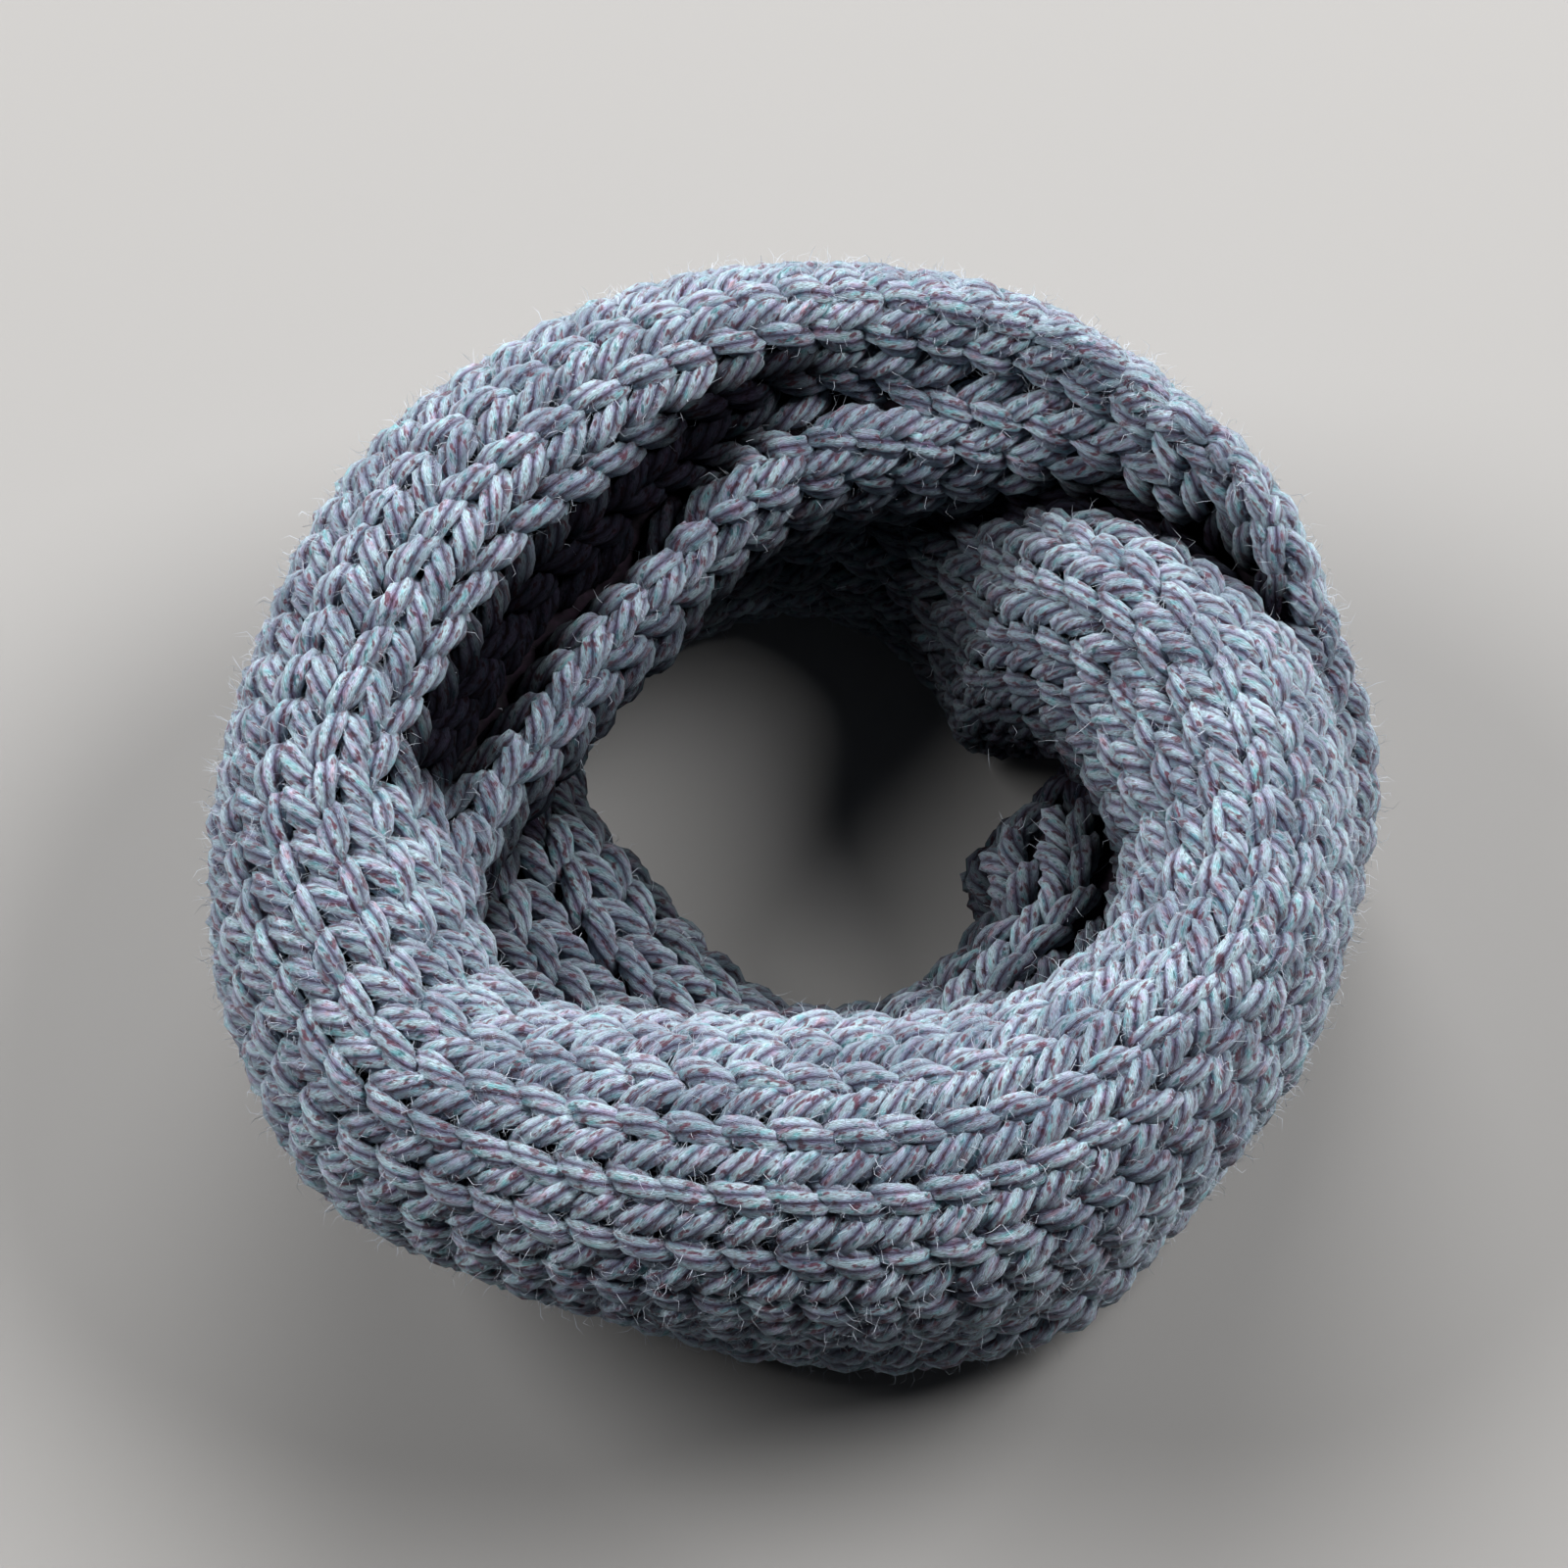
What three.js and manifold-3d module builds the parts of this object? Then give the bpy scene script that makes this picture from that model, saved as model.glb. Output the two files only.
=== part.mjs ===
// Infinity scarf: one closed band of chunky stockinette knitting, about 1.1 m round, wound twice
// into a ring and laid flat. Stockinette curls at both edges, so the band lies as a soft strand
// made of two rolls side by side, with a crease between them. The strand is drawn here as
// sections in upright planes through the ring's middle, and each stretch of it is one solid.
//
// Units are millimetres, +Z is up. The scarf rests on Z = 0 and the origin is under the middle of
// its box. Angles run anticlockwise from +X: 90 is the back, 180 the left, 270 the front.
// The strand's own angle runs on through both turns, from 0 to 720 degrees.
import * as THREE from "three";
import Module from "manifold-3d";

const ONE_TURN = 360;
const WHOLE_STRAND = 2 * ONE_TURN;

// Clearances between neighbouring pieces.
const SEAM_GAP = 0.3;
const PRESSED_GAP = 0.4;

// How finely the strand is drawn: points round each section, and degrees between sections,
// which are closer together over the crossing at the right.
const POINTS_ROUND = 24;
const COARSE_STEP = 6;
const FINE_STEP = 3;
const FINE_FROM = -12;
const FINE_TO = 60;

// Blends the two rolls where they meet: the higher, the sharper the crease.
const CREASE_SHARPNESS = 14;

const wasm = await Module();
wasm.setup();

const WOOL = { color: 0x8f98aa, roughness: 0.95, metalness: 0 };

// The strand's section at each angle. inner, crease and outer are distances from the ring's
// middle; low is the underside; top_in and top_out are the heights of the inner and the outer
// roll; join is how far each roll reaches past the crease, so a small join makes a deep crease.
const SECTION_COLUMNS = ["turn", "inner", "crease", "outer", "low", "top_in", "top_out", "join"];
const SECTION_ROWS = [
  // Upper turn: rises at the right, passes the back and the left, and lies on top in front.
  [12, 34, 84, 123, -4, 46, 72, 14],
  [20, 46, 97, 121, -4, 48, 87, 11],
  [27, 62, 103, 119, -4, 52, 96, 9],
  [34, 78, 104, 118, 6, 80, 101, 10],
  [42, 87, 104, 115.5, 20, 94, 103, 13],
  [55, 82, 102, 114, 38, 92, 104, 10],
  [68, 73, 96, 114, 44, 88, 105, 8],
  [85, 65, 86, 113.5, 46, 85, 105, 5],
  [103, 55, 75, 113.5, 46, 82, 105, 3],
  [121, 45, 65, 113.5, 46, 79, 105, 2],
  [145, 43, 63, 114, 46, 77, 105, 2],
  [165, 46, 65, 113, 46, 76, 104, 2],
  [185, 56, 73, 116.5, 46, 78, 103, 5],
  [202, 66, 88, 121, 44, 92, 100, 20],
  [220, 66, 94, 123, 38, 93, 96, 24],
  [238, 55, 86, 116, 40, 98, 98, 24],
  [262, 50, 82, 112.5, 44, 104, 103, 26],
  [282, 51, 84, 115, 45, 105, 103, 26],
  [300, 57, 88, 115.5, 45, 104, 103, 24],
  [317, 63, 88, 113.5, 46, 102, 103, 22],
  [332, 66, 90, 113, 47, 98, 103, 20],
  [346, 64, 88, 111.5, 47, 94, 102, 20],
  // Crossing at the right: the strand moves inside and down.
  [360, 58, 85, 109, 45, 93, 100, 22],
  [372, 54, 83, 108, 40, 91, 98, 22],
  [384, 50, 79, 105, 28, 88, 95, 22],
  [396, 47, 75, 101, 10, 83, 91, 22],
  [408, 47, 74, 99, -4, 71, 80, 20],
  [422, 57, 82, 104, -4, 50, 60, 18],
  // Lower turn: lies on the floor under the upper one, and shows inside and in front.
  [445, 69, 89, 110, -4, 43, 52, 16],
  [482, 64, 85, 106, -4, 43, 52, 16],
  [510, 51, 76, 104, -4, 44, 54, 18],
  [532, 31, 66, 105, -4, 46, 54, 18],
  [558, 22, 60, 102, -4, 44, 54, 18],
  [592, 19, 60, 98, -4, 42, 54, 18],
  [628, 24, 64, 101, -4, 44, 54, 18],
  [660, 28, 68, 109, -4, 46, 54, 16],
  [676, 31, 66, 106, -4, 48, 54, 12],
  [691, 33, 66, 106, -4, 50, 56, 10],
  [708, 36, 68, 111, -4, 50, 60, 10],
];

// The stretches, each named for where it shows; their ends meet at seams. The upper ones keep
// their full shape, and press a hollow into the lower ones where they lie on them.
const UPPER_STRETCHES = [
  { name: "upper_back_stretch", from: 24, to: 126 },
  { name: "upper_left_stretch", from: 126, to: 222 },
  { name: "upper_front_stretch", from: 222, to: 318 },
  { name: "upper_right_stretch", from: 318, to: 384 },
];
const LOWER_STRETCHES = [
  { name: "lower_back_stretch", from: 384, to: 492 },
  { name: "lower_left_stretch", from: 492, to: 582 },
  { name: "lower_front_stretch", from: 582, to: 672 },
  { name: "lower_right_stretch", from: 672, to: 744 },
];

// A smooth curve through a table's rows. A period makes it run on from the last row to the first.
function readTable(columns, rows, period) {
  const at = (index) => {
    const lap = Math.floor(index / rows.length);
    const row = rows[index - lap * rows.length];
    return { turn: row[0] + lap * period, row };
  };
  return (turn) => {
    const local = rows[0][0] + modulo(turn - rows[0][0], period);
    let index = 0;
    while (at(index + 1).turn <= local) {
      index += 1;
    }
    const stations = [at(index - 1), at(index), at(index + 1), at(index + 2)];
    const values = {};
    columns.slice(1).forEach((column, offset) => {
      values[column] = hermite(stations.map(({ turn: x, row }) => [x, row[offset + 1]]), local);
    });
    return values;
  };
}

function modulo(value, period) {
  return ((value % period) + period) % period;
}

function hermite([before, start, end, after], x) {
  const span = end[0] - start[0];
  const t = (x - start[0]) / span;
  const slopeStart = ((end[1] - before[1]) / (end[0] - before[0])) * span;
  const slopeEnd = ((after[1] - start[1]) / (after[0] - start[0])) * span;
  const t2 = t * t;
  const t3 = t2 * t;
  return (2 * t3 - 3 * t2 + 1) * start[1] + (t3 - 2 * t2 + t) * slopeStart
    + (3 * t2 - 2 * t3) * end[1] + (t3 - t2) * slopeEnd;
}

const sectionAt = readTable(SECTION_COLUMNS, SECTION_ROWS, WHOLE_STRAND);

// How far a ray from a point inside an ellipse runs before it leaves it.
function exitDistance(origin, direction, centre, half) {
  const px = (origin.x - centre.x) / half.x;
  const py = (origin.y - centre.y) / half.y;
  const dx = direction.x / half.x;
  const dy = direction.y / half.y;
  const a = dx * dx + dy * dy;
  const b = px * dx + py * dy;
  const c = px * px + py * py - 1;
  return (-b + Math.sqrt(Math.max(b * b - a * c, 0))) / a;
}

function blend(a, b) {
  return (a ** CREASE_SHARPNESS + b ** CREASE_SHARPNESS) ** (1 / CREASE_SHARPNESS);
}

function roll(from, to, low, top) {
  return {
    centre: new THREE.Vector2((from + to) / 2, (low + top) / 2),
    half: new THREE.Vector2((to - from) / 2, (top - low) / 2),
  };
}

// One closed section of the strand as points of (distance from the middle, height).
// It never goes under the floor, and swell makes it that much bigger all round.
function sectionOutline(turn, swell) {
  const s = sectionAt(turn);
  const innerRoll = roll(s.inner, s.crease + s.join, s.low, s.top_in);
  const outerRoll = roll(s.crease - s.join, s.outer, s.low, s.top_out);
  const origin = new THREE.Vector2(s.crease, (s.low + Math.min(s.top_in, s.top_out)) / 2);
  const spread = new THREE.Vector2(s.outer - s.inner, Math.max(s.top_in, s.top_out) - s.low);
  const points = [];
  for (let k = 0; k < POINTS_ROUND; k += 1) {
    const angle = (2 * Math.PI * k) / POINTS_ROUND;
    const direction = new THREE.Vector2(spread.x * Math.cos(angle), spread.y * Math.sin(angle)).normalize();
    const reachIn = exitDistance(origin, direction, innerRoll.centre, innerRoll.half);
    const reachOut = exitDistance(origin, direction, outerRoll.centre, outerRoll.half);
    const reach = blend(reachIn, reachOut);
    const point = origin.clone().addScaledVector(direction, reach + swell);
    point.y = Math.max(point.y, -swell);
    points.push(point);
  }
  return points;
}

// The angles at which sections are drawn between two seams.
function stationsBetween(from, to) {
  const stations = [];
  for (let turn = from; turn <= to; turn += FINE_STEP) {
    const local = FINE_FROM + modulo(turn - FINE_FROM, ONE_TURN);
    const kept = local <= FINE_TO || modulo(local, COARSE_STEP) === 0;
    if (kept || turn === from || turn === to) {
      stations.push(turn);
    }
  }
  return stations;
}

// Stands a section up in its plane; slide moves it along the strand to open a seam.
function placeSection(outline, turn, slide) {
  const angle = THREE.MathUtils.degToRad(turn);
  return outline.map(({ x: radius, y: height }) => new THREE.Vector3(
    radius * Math.cos(angle) - slide * Math.sin(angle),
    radius * Math.sin(angle) + slide * Math.cos(angle),
    height,
  ));
}

// Closes one end of a stretch with a fan round the middle of its section.
function closeEnd(positions, index, first, facesAlong) {
  const middle = new THREE.Vector3();
  for (let k = 0; k < POINTS_ROUND; k += 1) {
    middle.add(new THREE.Vector3().fromArray(positions, 3 * (first + k)));
  }
  middle.divideScalar(POINTS_ROUND);
  const hub = positions.length / 3;
  positions.push(middle.x, middle.y, middle.z);
  for (let k = 0; k < POINTS_ROUND; k += 1) {
    const a = first + k;
    const b = first + ((k + 1) % POINTS_ROUND);
    index.push(hub, facesAlong ? b : a, facesAlong ? a : b);
  }
}

// The rings of points that one stretch is drawn through. A seam's half gap is taken off each
// end, and a swollen stretch runs on past its ends by its swell.
function ringsOf({ from, to }, swell) {
  const rings = stationsBetween(from, to).map((turn) => ({ turn, slide: 0 }));
  rings[0].slide = SEAM_GAP / 2;
  rings[rings.length - 1].slide = -SEAM_GAP / 2;
  if (swell > 0) {
    rings.unshift({ turn: from, slide: SEAM_GAP / 2 - swell });
    rings.push({ turn: to, slide: swell - SEAM_GAP / 2 });
  }
  return rings.map(({ turn, slide }) => placeSection(sectionOutline(turn, swell), turn, slide));
}

// The closed solid of one stretch. With a swell it is the room that the stretch takes up.
function stretchSolid(stretch, swell = 0) {
  const rings = ringsOf(stretch, swell);
  const last = rings.length - 1;
  const positions = rings.flat().flatMap((point) => point.toArray());
  const index = [];
  for (let i = 0; i < last; i += 1) {
    for (let k = 0; k < POINTS_ROUND; k += 1) {
      const a = i * POINTS_ROUND + k;
      const b = i * POINTS_ROUND + ((k + 1) % POINTS_ROUND);
      index.push(a, a + POINTS_ROUND, b, b, a + POINTS_ROUND, b + POINTS_ROUND);
    }
  }
  closeEnd(positions, index, 0, false);
  closeEnd(positions, index, last * POINTS_ROUND, true);
  return new wasm.Manifold(new wasm.Mesh({
    numProp: 3,
    vertProperties: new Float32Array(positions),
    triVerts: new Uint32Array(index),
  }));
}

function toMesh(name, solid) {
  const { vertProperties, triVerts } = solid.getMesh();
  const geometry = new THREE.BufferGeometry();
  geometry.setAttribute("position", new THREE.BufferAttribute(vertProperties, 3));
  geometry.setIndex(new THREE.BufferAttribute(triVerts, 1));
  geometry.computeVertexNormals();
  const mesh = new THREE.Mesh(geometry, new THREE.MeshStandardMaterial(WOOL));
  mesh.name = name;
  return mesh;
}

// Moves the whole scarf so that the origin lies under the middle of its box.
function centreOnFloor(group) {
  const box = new THREE.Box3().setFromObject(group);
  const middle = box.getCenter(new THREE.Vector3());
  group.position.set(-middle.x, -middle.y, -box.min.z);
}

const scarf = new THREE.Group();
UPPER_STRETCHES.forEach((stretch) => {
  scarf.add(toMesh(stretch.name, stretchSolid(stretch)));
});
LOWER_STRETCHES.forEach((stretch) => {
  const pressed = UPPER_STRETCHES.reduce(
    (solid, upper) => solid.subtract(stretchSolid(upper, PRESSED_GAP)),
    stretchSolid(stretch),
  );
  scarf.add(toMesh(stretch.name, pressed));
});
centreOnFloor(scarf);

export default scarf;
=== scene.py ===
"""Looks of a chunky knitted infinity scarf, wound twice into a ring and lying flat.

The scarf is one band of stockinette whose edges curl, so it lies as a soft strand of two rolls
side by side. Every stitch is two legs of five-ply yarn. They are laid on the same sections as the
frame's solids, over an inner layer of the band that is painted near black as the shade between
the stitches. The yarn's colour also carries painted shade between plies, where legs dip and in
folds and creases. The scarf is worked out in millimetres, which add_mesh turns into metres, and
the room is in metres. Angles run anticlockwise from +X: 90 is the back, 180 the left, 270 the
front, and the strand's own angle runs on through both turns to 720.
"""
import math

import bpy
import numpy as np
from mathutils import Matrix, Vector
from mathutils.bvhtree import BVHTree


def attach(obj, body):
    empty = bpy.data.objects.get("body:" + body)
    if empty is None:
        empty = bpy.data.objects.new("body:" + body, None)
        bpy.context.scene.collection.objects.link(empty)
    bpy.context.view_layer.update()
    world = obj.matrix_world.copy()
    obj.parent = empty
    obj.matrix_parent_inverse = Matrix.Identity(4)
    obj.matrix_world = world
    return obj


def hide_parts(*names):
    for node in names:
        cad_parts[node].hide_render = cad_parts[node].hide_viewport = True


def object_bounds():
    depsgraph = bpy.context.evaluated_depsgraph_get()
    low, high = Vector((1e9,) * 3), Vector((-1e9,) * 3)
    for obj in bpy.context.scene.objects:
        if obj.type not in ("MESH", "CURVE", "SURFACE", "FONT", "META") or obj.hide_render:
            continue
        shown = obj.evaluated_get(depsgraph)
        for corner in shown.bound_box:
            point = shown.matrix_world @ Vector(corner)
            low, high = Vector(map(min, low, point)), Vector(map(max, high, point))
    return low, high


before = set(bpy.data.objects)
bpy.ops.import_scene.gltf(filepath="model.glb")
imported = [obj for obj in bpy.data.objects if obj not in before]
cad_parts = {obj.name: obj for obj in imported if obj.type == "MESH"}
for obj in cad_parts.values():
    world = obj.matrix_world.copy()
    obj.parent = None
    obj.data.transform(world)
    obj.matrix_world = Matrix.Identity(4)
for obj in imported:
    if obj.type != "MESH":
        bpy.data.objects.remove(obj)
cad_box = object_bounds()

MM = 0.001
TINY = 1e-9
ONE_TURN = 360
WHOLE_STRAND = 2 * ONE_TURN

# The strand's section at each angle. inner, crease and outer are distances from the ring's
# middle; low is the underside; top_in and top_out are the heights of the inner and the outer
# roll; join is how far each roll reaches past the crease, so a small join makes a deep crease.
SECTION_COLUMNS = ["turn", "inner", "crease", "outer", "low", "top_in", "top_out", "join"]
SECTION_ROWS = [
    # Upper turn: rises at the right, passes the back and the left, and lies on top in front.
    [12, 34, 84, 123, -4, 46, 72, 14],
    [20, 46, 97, 121, -4, 48, 87, 11],
    [27, 62, 103, 119, -4, 52, 96, 9],
    [34, 78, 104, 118, 6, 80, 101, 10],
    [42, 87, 104, 115.5, 20, 94, 103, 13],
    [55, 82, 102, 114, 38, 92, 104, 10],
    [68, 73, 96, 114, 44, 88, 105, 8],
    [85, 65, 86, 113.5, 46, 85, 105, 5],
    [103, 55, 75, 113.5, 46, 82, 105, 3],
    [121, 45, 65, 113.5, 46, 79, 105, 2],
    [145, 43, 63, 114, 46, 77, 105, 2],
    [165, 46, 65, 113, 46, 76, 104, 2],
    [185, 56, 73, 116.5, 46, 78, 103, 5],
    [202, 66, 88, 121, 44, 92, 100, 20],
    [220, 66, 94, 123, 38, 93, 96, 24],
    [238, 55, 86, 116, 40, 98, 98, 24],
    [262, 50, 82, 112.5, 44, 104, 103, 26],
    [282, 51, 84, 115, 45, 105, 103, 26],
    [300, 57, 88, 115.5, 45, 104, 103, 24],
    [317, 63, 88, 113.5, 46, 102, 103, 22],
    [332, 66, 90, 113, 47, 98, 103, 20],
    [346, 64, 88, 111.5, 47, 94, 102, 20],
    # Crossing at the right: the strand moves inside and down.
    [360, 58, 85, 109, 45, 93, 100, 22],
    [372, 54, 83, 108, 40, 91, 98, 22],
    [384, 50, 79, 105, 28, 88, 95, 22],
    [396, 47, 75, 101, 10, 83, 91, 22],
    [408, 47, 74, 99, -4, 71, 80, 20],
    [422, 57, 82, 104, -4, 50, 60, 18],
    # Lower turn: lies on the floor under the upper one, and shows inside and in front.
    [445, 69, 89, 110, -4, 43, 52, 16],
    [482, 64, 85, 106, -4, 43, 52, 16],
    [510, 51, 76, 104, -4, 44, 54, 18],
    [532, 31, 66, 105, -4, 46, 54, 18],
    [558, 22, 60, 102, -4, 44, 54, 18],
    [592, 19, 60, 98, -4, 42, 54, 18],
    [628, 24, 64, 101, -4, 44, 54, 18],
    [660, 28, 68, 109, -4, 46, 54, 16],
    [676, 31, 66, 106, -4, 48, 54, 12],
    [691, 33, 66, 106, -4, 50, 56, 10],
    [708, 36, 68, 111, -4, 50, 60, 10],
]
CREASE_SHARPNESS = 14

# The stretches of the strand, as in the frame: first angle, last angle.
STRETCHES = {
    "upper_back_stretch": (24, 126),
    "upper_left_stretch": (126, 222),
    "upper_front_stretch": (222, 318),
    "upper_right_stretch": (318, 384),
    "lower_back_stretch": (384, 492),
    "lower_left_stretch": (492, 582),
    "lower_front_stretch": (582, 672),
    "lower_right_stretch": (672, 744),
}

# The knitting, in millimetres. A wale is a column of stitches and a course is one stitch high.
WALES = 15
COURSE = 10.0
YARN_RADIUS = 3.2
PLIES = 5
PLY_TURN_PER_MM = math.radians(13.5)
PLY_VALLEY = 0.74

# The least height of the yarn over the surface that the scarf lies on.
REST_GAP = 0.15

# The inner layer: how deep it lies, its wall, its steps along and round the strand, its slit
# along the underside as a share of the way round, and its least height.
BASE_DEPTH = 6.0
BASE_WALL = 2.0
BASE_STEP = 3.0
BASE_ROUND = 64
BASE_SLIT = 0.012
BASE_REST_GAP = 0.5

# One stitch leg from its foot to its top: along the column in courses, sideways from the
# column's middle in millimetres, depth under the surface, and thickness as a share.
LEG_COLUMNS = ["along", "aside", "depth", "thick"]
LEG_ROWS = [
    [-0.32, 0.5, 5.0, 0.70],
    [-0.18, 1.0, 3.0, 0.88],
    [-0.02, 1.7, 1.1, 0.98],
    [0.17, 2.5, 0.2, 1.03],
    [0.36, 3.3, -0.1, 1.05],
    [0.56, 4.2, 0.1, 1.03],
    [0.76, 5.1, 0.9, 0.98],
    [0.94, 5.8, 2.6, 0.88],
    [1.09, 6.3, 4.8, 0.70],
]
LEG = dict(zip(LEG_COLUMNS, np.array(LEG_ROWS).T))

# What chance changes. A stitch slips along its column, in courses, and varies in size. Each leg
# also slips, spreads more or less, shifts to the side and lifts, in millimetres, and starts
# somewhere along the yarn's colours and, so many times farther, across them.
SEED = 11
STITCH_SLIP = 0.04
STITCH_SIZE = (0.94, 1.07)
LEG_SLIP = 0.05
LEG_SPREAD = (0.9, 1.1)
LEG_SHIFT = 0.35
LEG_LIFT = 0.35
YARN_START = (0, 400)
START_ACROSS = 7

# Steps in degrees along a column, how far every second column is set off, in courses, and the
# least size of a stitch where columns crowd.
COLUMN_STEP = 0.5
SET_OFF = 0.5
LEAST_CROWDED = 0.8

# Stitches this deep inside the other turn are left out. The depth is taken off as a share of a
# turn's half width.
BURIED_DEPTH = 5.5
HALF_WIDTH = 30

# Loose fibres that stand off the yarn, in millimetres. Each has its root in the yarn, leaves it
# outward with some wander, and bends once. More of them stand where the strand lies open.
HAIR_SEED = SEED + 1
HAIRS = 64000
HAIR_WIDTH = 0.09
HAIR_LENGTH = (1.5, 5.0)
HAIR_ROOT = 0.3
HAIR_WANDER = 0.9
HAIR_BEND = 0.7
HAIR_BEND_AT = 0.55
HAIR_OPEN_POWER = 3

# Rays that tell how open each stitch lies: how many, how far over the surface they start and how
# far they reach, in millimetres. Every fourth point of the strand is enough to stop them. What a
# ray that ends on the floor counts for, and an axis to set the rays out from.
OPEN_RAYS = 24
OPEN_START = 2
OPEN_REACH = 120
OPEN_THINNING = 4
FLOOR_RAY_SHARE = 0.5
SPARE_AXIS = (0.31, 0.17, 0.93)

# How far to each side the crease is in full painted shade, how much farther the painted shade
# fades out, and the joins at which the crease is deep and no longer deep.
CREASE_CORE = 1
CREASE_REACH = 6.5
CREASE_JOINS = (3, 7)


def unit(v):
    """Vectors of length one in the same directions."""
    return v / np.maximum(np.linalg.norm(v, axis=-1, keepdims=True), TINY)


def run_along(lines):
    """How far along its line each point lies, for an array of line by point by coordinate."""
    steps = np.linalg.norm(np.diff(lines, axis=1), axis=2)
    return np.concatenate([np.zeros((len(lines), 1)), np.cumsum(steps, axis=1)], axis=1)


def looped_rows(rows, period):
    """The table's rows with three more on each side, so that curves run on round the loop."""
    table = np.array(rows, float)
    before, after = table[-3:].copy(), table[:3].copy()
    before[:, 0] -= period
    after[:, 0] += period
    return np.vstack([before, table, after])


def section_values(turns):
    """Each column of the section table at these angles, on a smooth curve through the rows."""
    table = looped_rows(SECTION_ROWS, WHOLE_STRAND)
    first = SECTION_ROWS[0][0]
    local = first + np.mod(np.asarray(turns, float) - first, WHOLE_STRAND)
    at = np.searchsorted(table[:, 0], local, side="right") - 1
    x = table[:, 0]
    span = x[at + 1] - x[at]
    t = (local - x[at]) / span
    values = {}
    for k, name in enumerate(SECTION_COLUMNS[1:], start=1):
        y = table[:, k]
        slope_start = (y[at + 1] - y[at - 1]) / (x[at + 1] - x[at - 1]) * span
        slope_end = (y[at + 2] - y[at]) / (x[at + 2] - x[at]) * span
        values[name] = (
            (2 * t**3 - 3 * t**2 + 1) * y[at]
            + (t**3 - 2 * t**2 + t) * slope_start
            + (3 * t**2 - 2 * t**3) * y[at + 1]
            + (t**3 - t**2) * slope_end
        )
    return values


def exit_distance(origin, direction, centre, half):
    """How far rays from inside an ellipse run before they leave it."""
    px, py = (origin[0] - centre[0]) / half[0], (origin[1] - centre[1]) / half[1]
    dx, dy = direction[0] / half[0], direction[1] / half[1]
    a = dx * dx + dy * dy
    b = px * dx + py * dy
    c = px * px + py * py - 1
    return (-b + np.sqrt(np.maximum(b * b - a * c, 0))) / a


def section_outlines(turns, count):
    """The closed section at each angle: an array of angle by point by (distance, height)."""
    s = {name: value[:, None] for name, value in section_values(turns).items()}
    angle = 2 * np.pi * np.arange(count)[None, :] / count - np.pi / 2
    low_top = np.minimum(s["top_in"], s["top_out"])
    high_top = np.maximum(s["top_in"], s["top_out"])
    origin = (s["crease"], (s["low"] + low_top) / 2)
    dx = (s["outer"] - s["inner"]) * np.cos(angle)
    dy = (high_top - s["low"]) * np.sin(angle)
    length = np.hypot(dx, dy)
    direction = (dx / length, dy / length)
    reaches = []
    for start, end, top in (
        (s["inner"], s["crease"] + s["join"], s["top_in"]),
        (s["crease"] - s["join"], s["outer"], s["top_out"]),
    ):
        centre = ((start + end) / 2, (s["low"] + top) / 2)
        half = ((end - start) / 2, (top - s["low"]) / 2)
        reaches.append(exit_distance(origin, direction, centre, half))
    reach = (reaches[0] ** CREASE_SHARPNESS + reaches[1] ** CREASE_SHARPNESS) ** (1 / CREASE_SHARPNESS)
    radius = origin[0] + reach * direction[0]
    height = np.maximum(origin[1] + reach * direction[1], 0)
    return np.stack([radius, height], axis=-1)


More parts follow.
